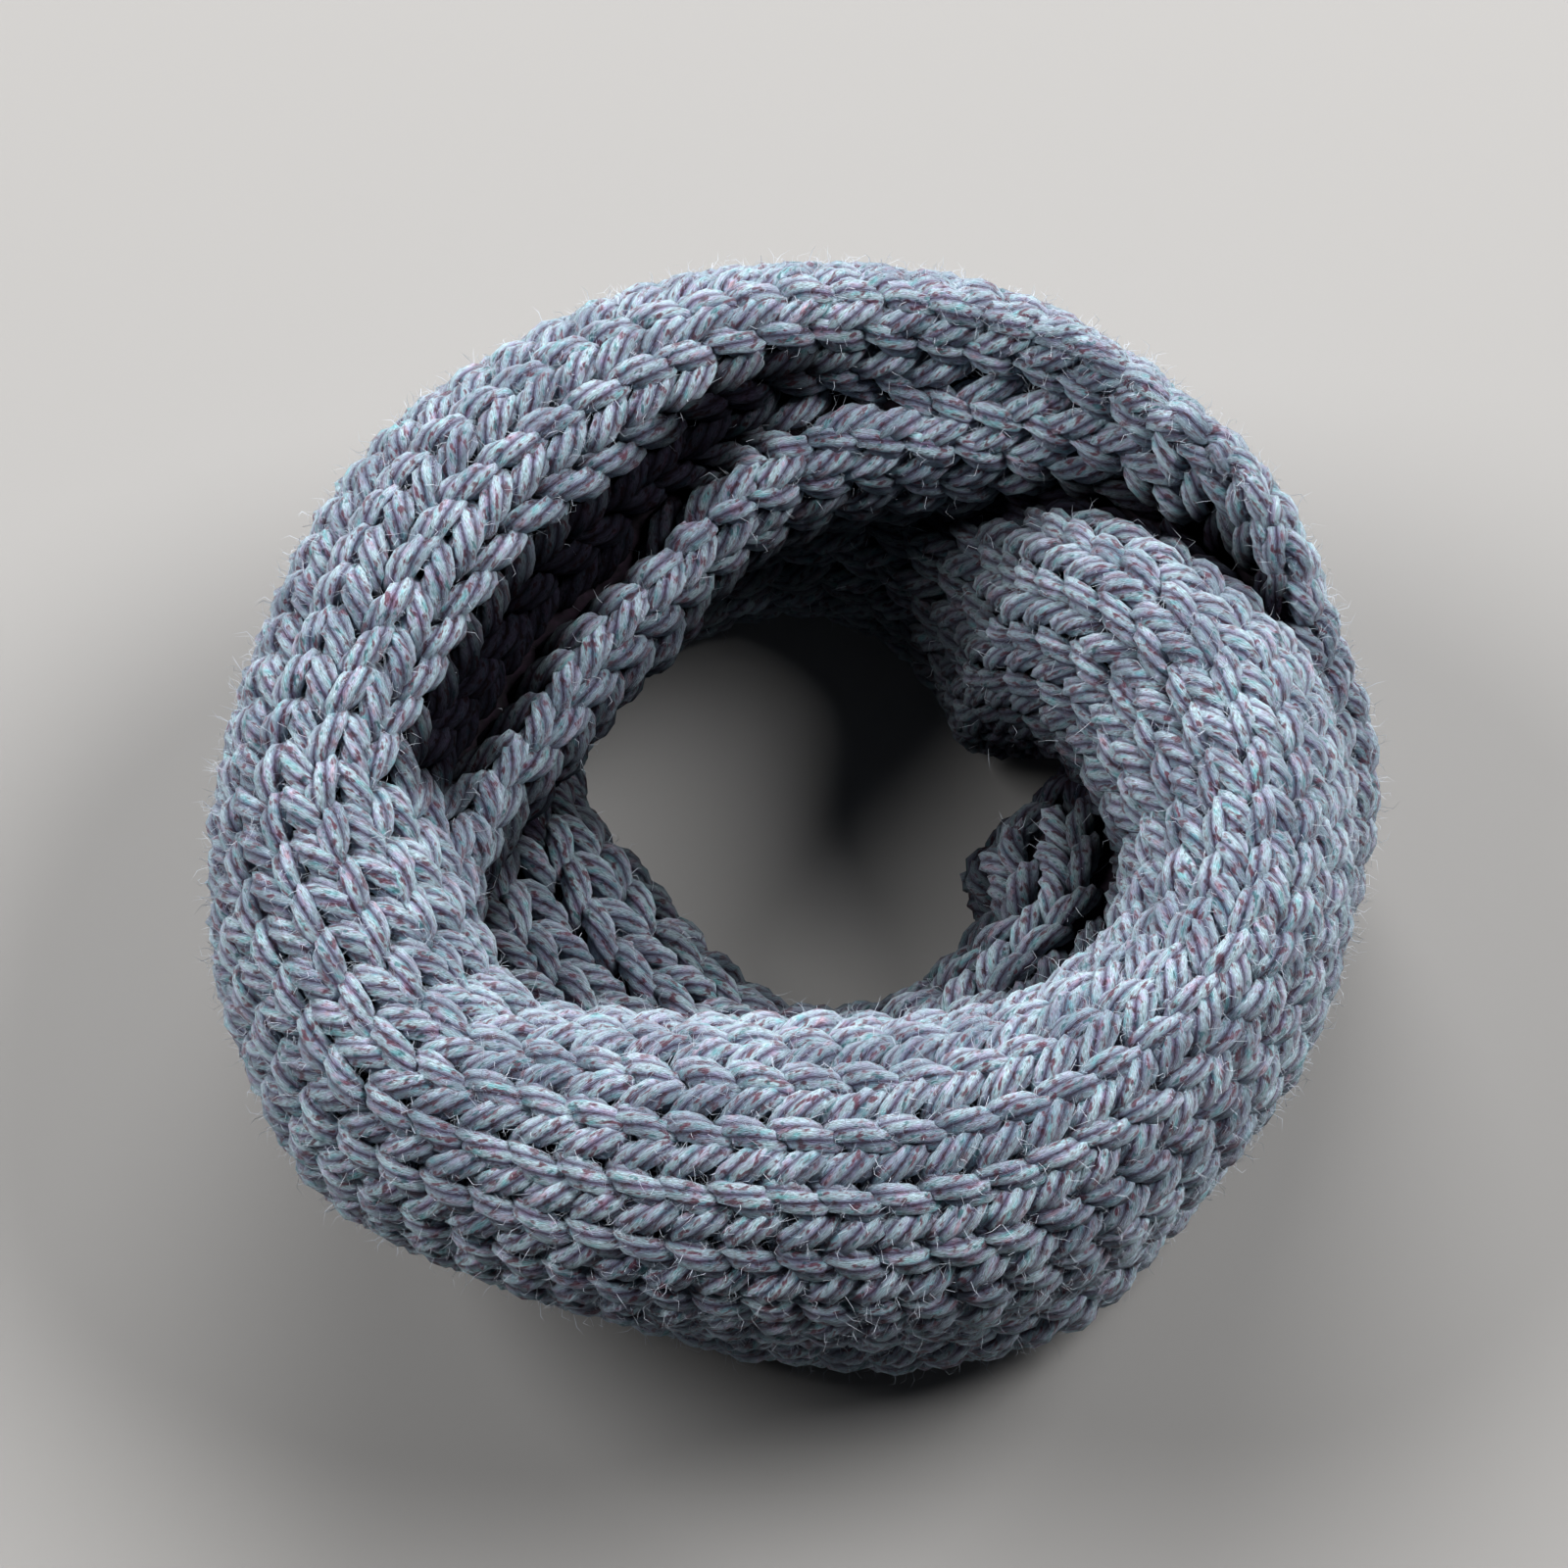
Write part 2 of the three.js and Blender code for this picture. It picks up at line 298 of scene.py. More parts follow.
class StrandSurface:
    """The strand's outer surface over (angle, share of the way round its section)."""

    STEP = 1.0
    ROUND = 160

    # How many steps to each side the normals look, so that small bends don't show.
    LOOK_ALONG = 2
    LOOK_ROUND = 3

    # The small steps that a column's lean is measured over, and the least square share of it.
    LEAN_TURN = 1
    LEAN_SHARE = 0.01
    LEAST_SQUARE = 0.05

    def __init__(self, shift):
        self.turns = np.arange(0, WHOLE_STRAND, self.STEP)
        raw = section_outlines(self.turns, 2 * self.ROUND)
        closed = np.concatenate([raw, raw[:, :1]], axis=1)
        run = run_along(closed)
        self.girth = run[:, -1]
        shares = np.arange(self.ROUND) / self.ROUND
        self.outlines = np.empty((len(raw), self.ROUND, 2))
        for i, outline in enumerate(closed):
            for k in range(2):
                self.outlines[i, :, k] = np.interp(shares * run[i, -1], run[i], outline[:, k])
        angle = np.radians(self.turns)[:, None]
        radius, height = self.outlines[..., 0], self.outlines[..., 1]
        across = radius * np.cos(angle) + shift[0]
        back = radius * np.sin(angle) + shift[1]
        self.points = np.stack([across, back, height], axis=-1)
        self.normals = self._normals()

    def _normals(self):
        """The outward direction at each point."""
        points = self.points
        along = np.roll(points, -self.LOOK_ALONG, axis=0) - np.roll(points, self.LOOK_ALONG, axis=0)
        across = np.roll(points, -self.LOOK_ROUND, axis=1) - np.roll(points, self.LOOK_ROUND, axis=1)
        return unit(np.cross(along, across))

    def sample(self, grid, turn, share):
        """The grid's values between its steps."""
        u = np.mod(turn, WHOLE_STRAND) / self.STEP
        v = np.mod(share, 1) * self.ROUND
        i, j = np.floor(u).astype(int), np.floor(v).astype(int)
        a, b = (u - i)[..., None], (v - j)[..., None]
        i, j = i % len(self.turns), j % self.ROUND
        i2, j2 = (i + 1) % len(self.turns), (j + 1) % self.ROUND
        near = grid[i, j] * (1 - b) + grid[i, j2] * b
        far = grid[i2, j] * (1 - b) + grid[i2, j2] * b
        return near * (1 - a) + far * a

    def point(self, turn, share):
        return self.sample(self.points, turn, share)

    def normal(self, turn, share):
        return unit(self.sample(self.normals, turn, share))

    def outline_spot(self, turn, share):
        """The distance from the ring's middle and the height."""
        return self.sample(self.outlines, turn, share)

    def girth_at(self, turn):
        """The way round the section, in millimetres."""
        grid = self.girth[:, None, None].repeat(self.ROUND, 1)
        return self.sample(grid, turn, np.zeros_like(turn))[..., 0]

    def column_lean(self, turn, share):
        """How far a step round the section also runs along its column, and how much of that step
        lies square to the column. Where the strand dives its sections aren't square to it."""
        share = np.full_like(turn, share)
        along = self.point(turn + self.LEAN_TURN, share) - self.point(turn - self.LEAN_TURN, share)
        around = self.point(turn, share + self.LEAN_SHARE) - self.point(turn, share - self.LEAN_SHARE)
        lean = np.sum(unit(along) * unit(around), axis=-1)
        return lean, np.sqrt(np.maximum(1 - lean**2, self.LEAST_SQUARE))


def frame_shift():
    """How far the frame is moved from the ring's own middle, in millimetres."""
    points = StrandSurface((0, 0)).points.reshape(-1, 3)
    middle = (points.min(0) + points.max(0)) / 2
    low, high = cad_box
    return ((low[0] + high[0]) / 2 / MM - middle[0], (low[1] + high[1]) / 2 / MM - middle[1])


def add_mesh(name, points, faces, material, maps=None):
    """A smooth mesh object from points in millimetres and triangles or quads. maps gives, by
    name, two numbers for each corner of each face."""
    faces = np.asarray(faces)
    mesh = bpy.data.meshes.new(name)
    mesh.vertices.add(len(points))
    mesh.vertices.foreach_set("co", (np.asarray(points) * MM).astype(np.float32).ravel())
    mesh.loops.add(faces.size)
    mesh.loops.foreach_set("vertex_index", faces.astype(np.int32).ravel())
    mesh.polygons.add(len(faces))
    mesh.polygons.foreach_set("loop_start", np.arange(0, faces.size, faces.shape[1], dtype=np.int32))
    for key, corners in (maps or {}).items():
        layer = mesh.uv_layers.new(name=key)
        layer.data.foreach_set("uv", corners.astype(np.float32).ravel())
    mesh.update(calc_edges=True)
    mesh.validate()
    mesh.polygons.foreach_set("use_smooth", np.full(len(mesh.polygons), True))
    piece = bpy.data.objects.new(name, mesh)
    bpy.context.scene.collection.objects.link(piece)
    mesh.materials.append(material)
    return piece


# Materials


def grey(value):
    return (value, value, value)


# The fibres' colours.
PALE_BLUE = (0.66, 0.84, 0.93)
AQUA = (0.36, 0.76, 0.82)
LILAC = (0.66, 0.70, 0.88)
PINK = (0.78, 0.57, 0.67)
SLATE = (0.15, 0.21, 0.31, 1)
MAROON = (0.20, 0.018, 0.055, 1)
TEAL = (0.03, 0.22, 0.25, 1)
SHEEN_TINT = (0.80, 0.88, 1.0, 1)
FUZZ = (0.70, 0.76, 0.84, 1)
FLOOR = (0.42, 0.415, 0.41, 1)

# Painted shade, which the colours are multiplied by: in the gaps where legs dip, between plies, on the
# plies' slopes and in deep folds and creases.
GAP_SHADE = (0.07, 0.01, 0.035)
VALLEY_SHADE = (0.17, 0.08, 0.15)
SLOPE_SHADE = (0.60, 0.55, 0.66)
FOLD_SHADE = (0.045, 0.035, 0.05)

# Ramps: the colour or the amount at each value from 0 to 1.
TINT_RAMP = [(0.30, AQUA), (0.42, PALE_BLUE), (0.52, PALE_BLUE), (0.62, LILAC), (0.74, PINK)]
SLATE_RAMP = [(0.38, grey(0.55)), (0.56, grey(0))]
MAROON_RAMP = [(0.53, grey(0)), (0.62, grey(0.85))]
TEAL_RAMP = [(0.61, grey(0)), (0.68, grey(0.75))]
FIBRE_RAMP = [(0.34, grey(0.50)), (0.62, grey(1.22))]
# Painted shade between plies, darkest in the valleys and lighter on the slopes.
VALLEY_SHADE_RAMP = [(0.0, VALLEY_SHADE), (0.28, SLOPE_SHADE), (0.62, grey(1))]
# Painted shade, tinted maroon, where a leg dips under its neighbours.
DIP_SHADE_RAMP = [(0.06, GAP_SHADE), (0.70, grey(1))]
# Painted shade in folds and creases, near black where a stitch lies least open.
FOLD_SHADE_RAMP = [(0.12, FOLD_SHADE), (0.36, grey(0.20)), (0.54, grey(0.65)), (0.74, grey(1))]
# The sheen fades out under the painted fold shade.
SHEEN_RAMP = [(0.25, grey(0)), (0.70, grey(0.8))]
# The inner layer, painted near black as the shade deep between the stitches.
INNER_SHADE_RAMP = [(0.35, (0.006, 0.004, 0.008)), (0.7, (0.03, 0.015, 0.03))]

# How far patterns are drawn out along and across the yarn: wide streaks and fine fibres.
STREAKS = (0.22, 1.0, 1)
FINE_FIBRES = (0.5, 9.0, 1)

# Noise: its scale and detail, and a seed where two patterns lie on the same streaks.
BROAD_NOISE = (70, 2)
TINT_NOISE = (1.5, 2)
MAROON_NOISE = (2.6, 3, 7.3)
TEAL_NOISE = (3.1, 2, 23.1)
FIBRE_NOISE = (2.6, 5)
INNER_NOISE = (400, 3)

# Relief: its strength, and its depth in metres.
YARN_RELIEF = (0.8, 0.0008)
INNER_RELIEF = (0.4, 0.001)


class Nodes:
    """A short way to add and join shader nodes."""

    def __init__(self, name):
        self.material = bpy.data.materials.new(name)
        self.material.use_nodes = True
        self.tree = self.material.node_tree
        self.shader = self.tree.nodes["Principled BSDF"]

    def plug(self, socket, value):
        """Joins a socket to another one, or gives it a plain value."""
        if isinstance(value, bpy.types.NodeSocket):
            self.tree.links.new(value, socket)
        else:
            socket.default_value = value

    def add(self, kind, inputs=None, **settings):
        node = self.tree.nodes.new(kind)
        for key, value in settings.items():
            setattr(node, key, value)
        for key, value in (inputs or {}).items():
            self.plug(node.inputs[key], value)
        return node

    def set(self, **inputs):
        """Sets the shader's inputs, with _ for each space in a name."""
        for key, value in inputs.items():
            self.plug(self.shader.inputs[key.replace("_", " ")], value)

    def map(self, name):
        """A map of the mesh, by its name."""
        return self.add("ShaderNodeUVMap", uv_map=name).outputs["UV"]

    def parts(self, vector):
        """A vector's X, Y and Z."""
        return self.add("ShaderNodeSeparateXYZ", {"Vector": vector}).outputs

    def place(self):
        """The place on the object, in metres."""
        return self.add("ShaderNodeTexCoord").outputs["Object"]

    def stretch(self, vector, scale):
        return self.add("ShaderNodeMapping", {"Vector": vector, "Scale": scale}).outputs["Vector"]

    def noise(self, vector, scale, detail, seed=None):
        inputs = {"Vector": vector, "Scale": scale, "Detail": detail}
        if seed is None:
            return self.add("ShaderNodeTexNoise", inputs).outputs["Fac"]
        inputs["W"] = seed
        return self.add("ShaderNodeTexNoise", inputs, noise_dimensions="4D").outputs["Fac"]

    def bump(self, height, strength, distance):
        inputs = {"Strength": strength, "Distance": distance, "Height": height}
        return self.add("ShaderNodeBump", inputs).outputs["Normal"]

    def mix(self, factor, a, b, blend="MIX"):
        node = self.add("ShaderNodeMix", data_type="RGBA", blend_type=blend)
        factor_input, a_input, b_input, colour_output = 0, 6, 7, 2
        self.plug(node.inputs[factor_input], factor)
        self.plug(node.inputs[a_input], a)
        self.plug(node.inputs[b_input], b)
        return node.outputs[colour_output]

    def multiply(self, a, b):
        return self.mix(1.0, a, b, "MULTIPLY")

    def ramp(self, factor, stops):
        node = self.add("ShaderNodeValToRGB", {"Fac": factor})
        elements = node.color_ramp.elements
        while len(elements) < len(stops):
            elements.new(0.5)
        for element, (place, colour) in zip(elements, stops):
            element.position = place
            element.color = (*colour, 1)
        return node.outputs["Color"]


def heather(n, fibre):
    """Streaks of aqua, lilac, pink, maroon and teal that run along each ply, over broad patches of
    slate, with the fibres' own grain."""
    streaks = n.stretch(n.map("yarn"), STREAKS)
    broad = n.noise(n.place(), *BROAD_NOISE)
    colour = n.ramp(n.noise(streaks, *TINT_NOISE), TINT_RAMP)
    colour = n.mix(n.ramp(broad, SLATE_RAMP), colour, SLATE)
    colour = n.mix(n.ramp(n.noise(streaks, *MAROON_NOISE), MAROON_RAMP), colour, MAROON)
    colour = n.mix(n.ramp(n.noise(streaks, *TEAL_NOISE), TEAL_RAMP), colour, TEAL)
    return n.multiply(colour, n.ramp(fibre, FIBRE_RAMP))


def shaded(n, colour, unshaded_share):
    """The colour with painted shade: darker between plies, where a leg dips under its neighbours and
    in folds and creases.
    """
    light = n.parts(n.map("light"))
    colour = n.multiply(colour, n.ramp(light["X"], VALLEY_SHADE_RAMP))
    colour = n.multiply(colour, n.ramp(light["Y"], DIP_SHADE_RAMP))
    return n.multiply(colour, n.ramp(unshaded_share, FOLD_SHADE_RAMP))


def yarn_material():
    """Heathered wool with painted shade between plies, where legs dip and in folds and creases, and
    the soft sheen of its fibres where it lies open, which fades out under the painted fold shade.
    """
    n = Nodes("heathered_yarn")
    fibre = n.noise(n.stretch(n.map("yarn"), FINE_FIBRES), *FIBRE_NOISE)
    unshaded_share = n.parts(n.map("nook"))["X"]
    colour = shaded(n, heather(n, fibre), unshaded_share)
    n.set(Base_Color=colour, Roughness=0.92, Normal=n.bump(fibre, *YARN_RELIEF))
    n.set(Sheen_Weight=n.ramp(unshaded_share, SHEEN_RAMP), Sheen_Roughness=0.5, Sheen_Tint=SHEEN_TINT)
    n.set(Specular_IOR_Level=0.12)
    return n.material


def fuzz_material():
    n = Nodes("wool_fuzz")
    n.set(Base_Color=FUZZ, Roughness=1.0, Specular_IOR_Level=0.05)
    return n.material


def inner_material():
    """The back of the knitting, seen only between the stitches, and painted near black as the shade
    there.
    """
    n = Nodes("painted_shade_inner_wool")
    noise = n.noise(n.place(), *INNER_NOISE)
    n.set(Base_Color=n.ramp(noise, INNER_SHADE_RAMP), Roughness=0.95, Normal=n.bump(noise, *INNER_RELIEF))
    return n.material


def floor_material():
    n = Nodes("pale_floor")
    n.set(Base_Color=FLOOR, Roughness=0.9)
    return n.material


# The band's inner layer


def inner_band(surface, material):
    """The band under its stitches: a thin wall that is open along the underside, where the
    knitting's two curled edges meet."""
    turns = np.arange(0, WHOLE_STRAND, BASE_STEP)
    shares = np.linspace(BASE_SLIT, 1 - BASE_SLIT, BASE_ROUND)
    turn, share = np.meshgrid(turns, shares, indexing="ij")
    outer = surface.point(turn, share) - surface.normal(turn, share) * BASE_DEPTH
    inner = surface.point(turn, share) - surface.normal(turn, share) * (BASE_DEPTH + BASE_WALL)
    count = turn.size
    grid = np.arange(count).reshape(turn.shape)
    after = np.roll(grid, -1, axis=0)
    faces = np.stack([grid[:, :-1], after[:, :-1], after[:, 1:], grid[:, 1:]], axis=-1).reshape(-1, 4)
    back = faces[:, ::-1] + count
    rims = []
    for edge, flip in ((0, False), (-1, True)):
        a, b = grid[:, edge], after[:, edge]
        rim = np.stack([a, a + count, b + count, b], axis=-1)
        rims.append(rim[:, ::-1] if flip else rim)
    points = np.concatenate([outer.reshape(-1, 3), inner.reshape(-1, 3)])
    points[:, 2] = np.maximum(points[:, 2], BASE_REST_GAP)
    return add_mesh("knitted_band", points, np.vstack([faces, back, *rims]), material)


# The stitches


class Column:
    """One column of the knitting, with its stitches evenly spaced by real length."""

    def __init__(self, surface, wale, rng):
        self.share = (wale + 0.5) / WALES
        self.turns = np.arange(0, WHOLE_STRAND + COLUMN_STEP, COLUMN_STEP)
        path = surface.point(self.turns, np.full_like(self.turns, self.share))
        self.run = run_along(path[None])[0]
        count = int(round(self.run[-1] / COURSE))
        self.spacing = self.run[-1] / count
        slip = rng.uniform(-STITCH_SLIP, STITCH_SLIP, count)
        self.places = (np.arange(count) + SET_OFF * (wale % 2) + slip) * self.spacing

    def turn_at(self, place):
        """The strand's angle at a length along the column."""
        return np.interp(np.mod(place, self.run[-1]), self.run, self.turns)


def point_in_outline(point, outline):
    """True if a ray from the point crosses the outline an odd number of times."""
    x, y = point
    ax, ay = outline[:, 0], outline[:, 1]
    bx, by = np.roll(ax, -1), np.roll(ay, -1)
    crosses = (ay > y) != (by > y)
    rise = np.where(np.abs(by - ay) < TINY, TINY, by - ay)
    return bool(np.count_nonzero(crosses & (x < ax + (y - ay) * (bx - ax) / rise)) % 2)


def buried(surface, turn, share):
    """True for each place on the strand that lies well inside the other turn."""
    spots = surface.outline_spot(turn, np.full_like(turn, share))
    other = np.mod(np.round((turn + ONE_TURN) / surface.STEP).astype(int), len(surface.turns))
    result = np.zeros(len(turn), bool)
    for i, spot in enumerate(spots):
        outline = surface.outlines[other[i]]
        middle = outline.mean(0)
        shrunk = middle + (outline - middle) * (1 - BURIED_DEPTH / HALF_WIDTH)
        result[i] = point_in_outline(spot, shrunk)
    return result


def draw_leg(column, place, turn, lean, side, rng):
    """One leg of a stitch, changed a little by chance: its rings' angles and places to the side,
    its lift, the turn of its plies and where the yarn's colours start."""
    along = place + (LEG["along"] + rng.uniform(-LEG_SLIP, LEG_SLIP)) * column.spacing
    along = along + lean * LEG["aside"] * side
    turns = turn + np.mod(column.turn_at(along) - turn + ONE_TURN, WHOLE_STRAND) - ONE_TURN
    aside = LEG["aside"] * rng.uniform(*LEG_SPREAD) * side + rng.uniform(-LEG_SHIFT, LEG_SHIFT)
    lift = rng.uniform(-LEG_LIFT, LEG_LIFT)
    phase = rng.uniform(0, 2 * math.pi)
    start = rng.uniform(*YARN_START)
    return turns, aside, lift, phase, start


def draw_legs(surface, rng):
    """All stitch legs as arrays by name: for each leg one value, or one for each of its rings."""
    rows = []
    for wale in range(WALES):
        column = Column(surface, wale, rng)
        turns = column.turn_at(column.places)
        lean, narrow = surface.column_lean(turns, column.share)
        hidden = buried(surface, turns, column.share)
        for i in np.nonzero(~hidden)[0]:
            size = rng.uniform(*STITCH_SIZE) * max(narrow[i], LEAST_CROWDED)
            for side in (-1, 1):
                leg = draw_leg(column, column.places[i], turns[i], lean[i], side, rng)
                rows.append((turns[i], column.share, size, *leg))
    names = ("stitch_turn", "share", "size", "turn", "aside", "lift", "phase", "start")
    legs = {name: np.array(values) for name, values in zip(names, zip(*rows))}
    legs["share"] = legs["share"][:, None] - legs["aside"] / surface.girth_at(legs["turn"])
    return legs


def ply_profile():
    """The yarn's section: for each ply a valley and a crown, as angles and shares."""
    angles, shares = [], []
    for ply in range(PLIES):
        middle = 2 * math.pi * ply / PLIES
        valley = math.pi / PLIES
        angles += [middle - valley, middle]
        shares += [PLY_VALLEY, 1.0]
    return np.array(angles), np.array(shares)


def stitch_rings(surface, legs):
    """The rings of points along each leg, its middle line, and how far along it each ring is."""
    radius = YARN_RADIUS * LEG["thick"][None, :] * legs["size"][:, None]
    normal = surface.normal(legs["turn"], legs["share"])
    depth = LEG["depth"][None, :] + YARN_RADIUS + legs["lift"][:, None]
    middle = surface.point(legs["turn"], legs["share"]) - normal * depth[..., None]
    tangent = unit(np.gradient(middle, axis=1))
    up = unit(normal - tangent * np.sum(normal * tangent, axis=-1, keepdims=True))
    side = np.cross(up, tangent)
    run = run_along(middle)
    angles, shares = ply_profile()
    twist = legs["phase"][:, None] + run * PLY_TURN_PER_MM
    angle = angles[None, None, :] + twist[..., None]
    reach = radius[..., None] * shares[None, None, :]
    rings = (
        middle[:, :, None, :]
        + (np.cos(angle) * reach)[..., None] * up[:, :, None, :]
        + (np.sin(angle) * reach)[..., None] * side[:, :, None, :]
    )
    rings[..., 2] = np.maximum(rings[..., 2], REST_GAP)
    return rings, middle, run


# How open each stitch lies, for the painted shade in folds and creases and for the loose fibres


def fold_tree(surface):
    """The strand's surface, thinned out, to cast rays against."""
    grid = surface.points[::OPEN_THINNING, ::OPEN_THINNING]
    index = np.arange(grid.shape[0] * grid.shape[1]).reshape(grid.shape[:2])
    after = np.roll(index, -1, axis=0)
    quads = np.stack([index, after, np.roll(after, -1, axis=1), np.roll(index, -1, axis=1)], axis=-1)
    return BVHTree.FromPolygons(grid.reshape(-1, 3).tolist(), quads.reshape(-1, 4).tolist())


def ray_fans(normal):
    """For each normal, rays spread over the half space round it, most of them near to it."""
    side = unit(np.cross(normal, np.array(SPARE_AXIS)))
    other = np.cross(normal, side)
    spot = (np.arange(OPEN_RAYS) + 0.5) / OPEN_RAYS
    spin = np.arange(OPEN_RAYS) * math.pi * (3 - math.sqrt(5))
    parts = (np.sqrt(spot) * np.cos(spin), np.sqrt(spot) * np.sin(spin), np.sqrt(1 - spot))
    pairs = zip(parts, (side, other, normal))
    return sum(part[None, :, None] * axis[:, None] for part, axis in pairs)


def clear_share(surface, tree, turn, share):
    """The share of rays from each place that get clear of the folds. One that ends on the floor
    counts in part."""
    normal = surface.normal(turn, share)
    start = surface.point(turn, share) + OPEN_START * normal
    result = np.zeros(len(turn))
    for i, rays in enumerate(ray_fans(normal)):
        for ray in rays:
            if tree.ray_cast(start[i], ray, OPEN_REACH)[0] is None:
                to_floor = ray[2] < 0 and start[i, 2] < -ray[2] * OPEN_REACH
                result[i] += FLOOR_RAY_SHARE if to_floor else 1
    return result / OPEN_RAYS


def crease_shade(surface, turn, share):
    """How strong the painted shade is in the narrow crease on top between the two rolls: 1 in the
    crease, where it is deep, and 0 away from it.
    """
    section = section_values(turn)
    spot = surface.outline_spot(turn, share)
    full, none = CREASE_JOINS
    deep = np.clip((none - section["join"]) / (none - full), 0, 1)
    away = np.abs(spot[..., 0] - section["crease"])
    near = 1 - np.clip((away - CREASE_CORE) / CREASE_REACH, 0, 1)
    on_top = spot[..., 1] > (section["low"] + section["top_in"]) / 2
    return deep * near * on_top


def openness(surface, legs):
    """How open each ring of each leg lies, from 0 in a deep fold to 1 on a free bulge, with the painted
    shade of the crease taken off; the material paints shade in folds and creases by it. The rays
    start at the foot, the middle and the tip of a leg."""
    turn, share = legs["turn"], legs["share"]
    tree = fold_tree(surface)
    last = turn.shape[1] - 1
    probes = [0, last // 2, last]
    clear = np.stack([clear_share(surface, tree, turn[:, k], share[:, k]) for k in probes], axis=1)
    every = np.array([np.interp(np.arange(last + 1), probes, row) for row in clear])
    return every * (1 - crease_shade(surface, turn, share))


# The stitches' meshes


def leg_corners(ring_count, around):
    """Triangles of one leg as (ring, place round it) corners. The foot is ring -1, the tip is the
    last ring plus one, and place runs one past the end, where the texture's run is not cut."""
    corners = []
    for i in range(ring_count - 1):
        for k in range(around):
            a, b, c, d = (i, k), (i, k + 1), (i + 1, k), (i + 1, k + 1)
            corners += [[a, c, b], [b, c, d]]
    for k in range(around):
        corners.append([(-1, k), (0, k), (0, k + 1)])
        corners.append([(ring_count, k), (ring_count - 1, k + 1), (ring_count - 1, k)])
    return np.array(corners)


def corner_points(corners, ring_count, around):
    """Each corner's point: the rings' points come first, then the foot and the tip."""
    ring, place = corners[..., 0], corners[..., 1]
    foot = ring_count * around
    on_ring = ring * around + place % around
    return np.where(ring < 0, foot, np.where(ring >= ring_count, foot + 1, on_ring))


def leg_maps(run, start, free, corners):
    """Maps by name, for each corner. yarn: how far along and across the yarn it is. light: from 0 in
    a valley to 1 on a ply's crown, and from 0 where the leg dips deepest to 1 where it doesn't, for
    the painted shade between plies and in the gaps. The last map: how open it lies, for the painted
    shade in folds and creases."""
    across = np.arange(2 * PLIES + 1) / 2
    crown = (2 * across) % 2
    ring = np.clip(corners[..., 0], 0, len(LEG_ROWS) - 1)
    place = corners[..., 1]
    depth = LEG["depth"]
    # 1 where the leg lies at the surface and 0 where it dips deepest, for the painted shade in the gaps.
    unshaded_share = 1 - np.clip(depth / depth.max(), 0, 1)
    along = start[:, None, None] + run[:, ring]
    yarn = np.stack([along, across[place] + START_ACROSS * start[:, None, None]], axis=-1)
    light = np.stack([crown[place], unshaded_share[ring]], axis=-1)
    # How open each ring lies, for the painted shade in folds and creases.
    nook = free[:, ring][..., None]
    return {
        "yarn": yarn,
        "light": np.broadcast_to(light, yarn.shape),
        "nook": np.broadcast_to(nook, yarn.shape),
    }


def add_stitches(surface, material):
    """One piece of stitches for each stretch of the strand. Also gives all legs' rings, their
    middle lines and how open they lie, for the loose fibres."""
    legs = draw_legs(surface, np.random.default_rng(SEED))
    rings, middle, run = stitch_rings(surface, legs)
    free = openness(surface, legs)
    leg_count, ring_count, around = rings.shape[:3]
    points = np.concatenate([rings.reshape(leg_count, -1, 3), middle[:, [0, -1]]], axis=1)
    corners = leg_corners(ring_count, around)
    triangles = corner_points(corners, ring_count, around)
    maps = leg_maps(run, legs["start"], free, corners)
    pieces = {}
    for node, (start, end) in STRETCHES.items():
        local = start + np.mod(legs["stitch_turn"] - start, WHOLE_STRAND)
        chosen = np.nonzero(local < end)[0]
        first = np.arange(len(chosen)) * points.shape[1]
        pieces[node] = add_mesh(
            node.replace("stretch", "stitches"),
            points[chosen].reshape(-1, 3),
            (triangles[None] + first[:, None, None]).reshape(-1, 3),
            material,
            {key: values[chosen].reshape(-1, 2) for key, values in maps.items()},
        )
    return pieces, rings, middle, free


def random_directions(rng):
    return unit(rng.normal(size=(HAIRS, 3)))


def add_fuzz(rings, middle, free, material):
    """Short loose fibres that leave the yarn in every outward direction, as narrow ribbons."""
    rng = np.random.default_rng(HAIR_SEED)
    share = free.mean(axis=1) ** HAIR_OPEN_POWER
    leg = rng.choice(len(rings), HAIRS, p=share / share.sum())
    ring = rng.integers(1, rings.shape[1] - 1, HAIRS)
    root = rings[leg, ring, rng.integers(0, rings.shape[2], HAIRS)]
    out = unit(root - middle[leg, ring])
    wander = random_directions(rng)
    length = rng.uniform(*HAIR_LENGTH, HAIRS)[:, None]
    first_way = unit(out + HAIR_WANDER * wander)
    tip = root + length * unit(first_way + HAIR_BEND * random_directions(rng))
    bend = root + HAIR_BEND_AT * length * first_way
    across = unit(np.cross(tip - root, random_directions(rng))) * HAIR_WIDTH / 2
    base = root - HAIR_ROOT * out
    points = np.stack([base - across, base + across, bend - across, bend + across, tip], axis=1)
    points[..., 2] = np.maximum(points[..., 2], REST_GAP)
    triangles = np.array([[0, 2, 1], [1, 2, 3], [2, 4, 3]])
    faces = (triangles[None] + points.shape[1] * np.arange(HAIRS)[:, None, None]).reshape(-1, 3)
    return add_mesh("wool_fuzz", points.reshape(-1, 3), faces, material)


# The room, in metres and degrees

FLOOR_HALF = 3.0
DOME_RADIUS = 1.6
LIGHT_TARGET = (0, 0, 0.03)
LIGHT_COLOUR = (1.0, 0.99, 0.98)
WORLD_COLOUR = (0.93, 0.96, 1.0, 1)
WORLD_STRENGTH = 0.02
CONTRAST = 1.2

# Each light's angle round the scarf, its height over the floor as an angle, its width and its
# power in watts.
LIGHTS = {
    "window_behind": (90, 34, 1.0, 18),
    "window_left": (170, 45, 0.8, 18.5),
    "window_right": (18, 50, 0.8, 21.5),
}

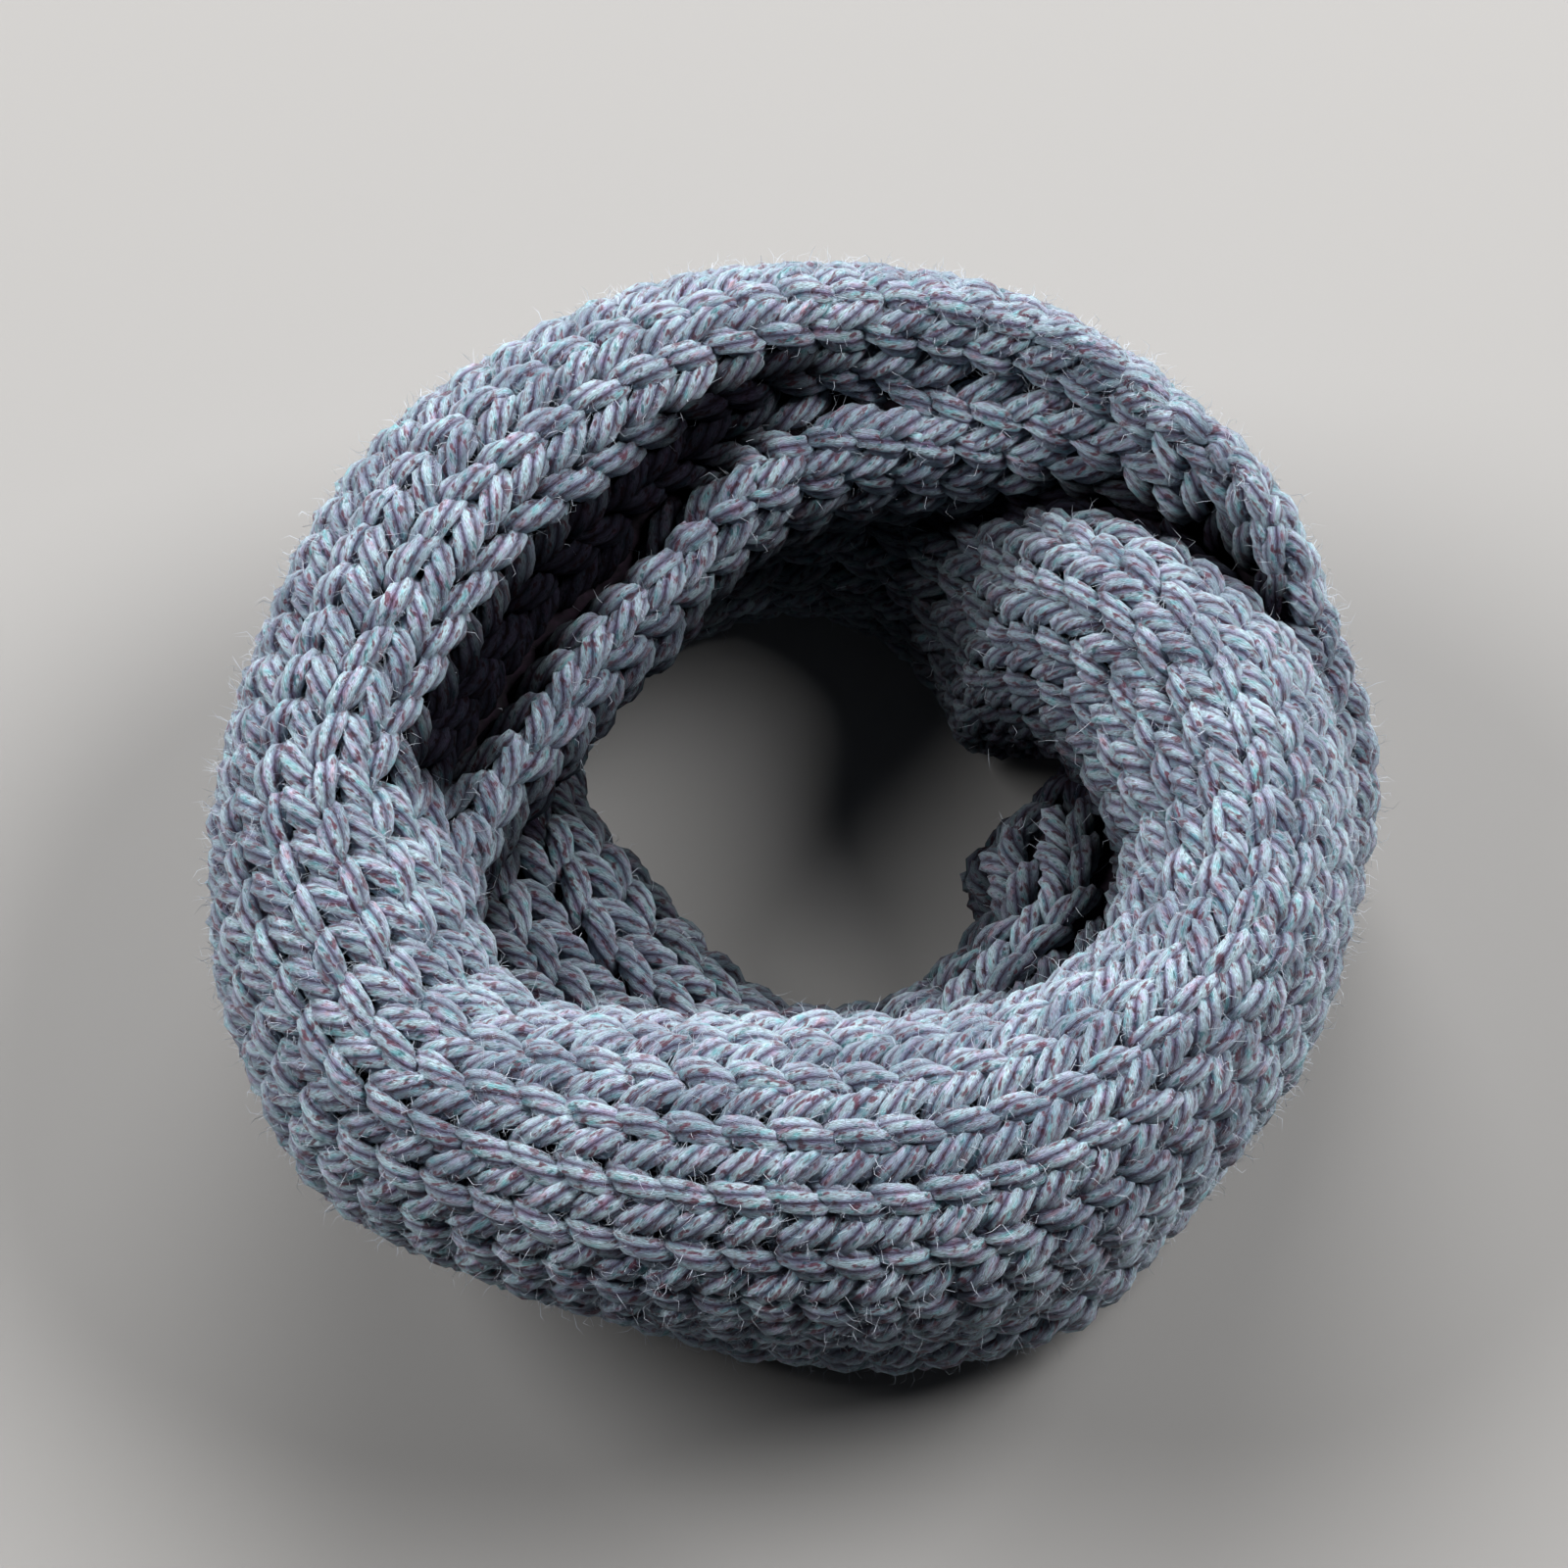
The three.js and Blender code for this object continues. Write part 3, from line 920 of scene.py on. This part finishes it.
# The camera's sensor in millimetres, its height over the floor as an angle, its distance from
# what it looks at, and how much of the height there it shows.
SENSOR = 36
CAMERA_ELEVATION = 65
CAMERA_DISTANCE = 1.0
CAMERA_TARGET = (-0.0052, 0.0152, 0.045)
VIEW_HEIGHT = 0.32


def add_floor():
    mesh = bpy.data.meshes.new("floor")
    corners = [(x * FLOOR_HALF, y * FLOOR_HALF, 0) for x, y in ((-1, -1), (1, -1), (1, 1), (-1, 1))]
    mesh.from_pydata(corners, [], [(0, 1, 2, 3)])
    floor = bpy.data.objects.new("floor", mesh)
    bpy.context.scene.collection.objects.link(floor)
    mesh.materials.append(floor_material())


def aim(thing, target):
    direction = Vector(target) - Vector(thing.location)
    thing.rotation_euler = direction.to_track_quat("-Z", "Y").to_euler()


def add_light(name, azimuth, elevation, size, power):
    """A soft round light on a dome over the scarf, aimed at its middle."""
    across, up = math.radians(azimuth), math.radians(elevation)
    data = bpy.data.lights.new(name, "AREA")
    data.shape = "DISK"
    data.size = size
    data.energy = power
    data.color = LIGHT_COLOUR
    light = bpy.data.objects.new(name, data)
    level = DOME_RADIUS * math.cos(up)
    light.location = (level * math.cos(across), level * math.sin(across), DOME_RADIUS * math.sin(up))
    aim(light, LIGHT_TARGET)
    bpy.context.scene.collection.objects.link(light)


def add_world():
    world = bpy.data.worlds.new("soft_room")
    world.use_nodes = True
    background = world.node_tree.nodes["Background"]
    background.inputs["Color"].default_value = WORLD_COLOUR
    background.inputs["Strength"].default_value = WORLD_STRENGTH
    bpy.context.scene.world = world


def add_camera():
    """Looks down at the scarf from the front, as in the photograph."""
    elevation = math.radians(CAMERA_ELEVATION)
    target = np.array(CAMERA_TARGET)
    data = bpy.data.cameras.new("camera")
    data.sensor_width = data.sensor_height = SENSOR
    data.lens = SENSOR / 2 / (VIEW_HEIGHT / 2 / CAMERA_DISTANCE)
    camera = bpy.data.objects.new("camera", data)
    camera.location = target + CAMERA_DISTANCE * np.array([0, -math.cos(elevation), math.sin(elevation)])
    aim(camera, target)
    bpy.context.scene.collection.objects.link(camera)
    bpy.context.scene.camera = camera


def main():
    add_camera()
    surface = StrandSurface(frame_shift())
    yarn = yarn_material()
    band = inner_band(surface, inner_material())
    stitches, rings, middle, free = add_stitches(surface, yarn)
    fuzz = add_fuzz(rings, middle, free, fuzz_material())
    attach(fuzz, "root")
    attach(band, "root")
    for node, piece in stitches.items():
        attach(piece, "root")
        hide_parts(node)
    add_floor()
    add_world()
    for name, values in LIGHTS.items():
        add_light(name, *values)
    bpy.context.scene.view_settings.view_transform = "Standard"
    bpy.context.scene.view_settings.gamma = 1 / CONTRAST


main()
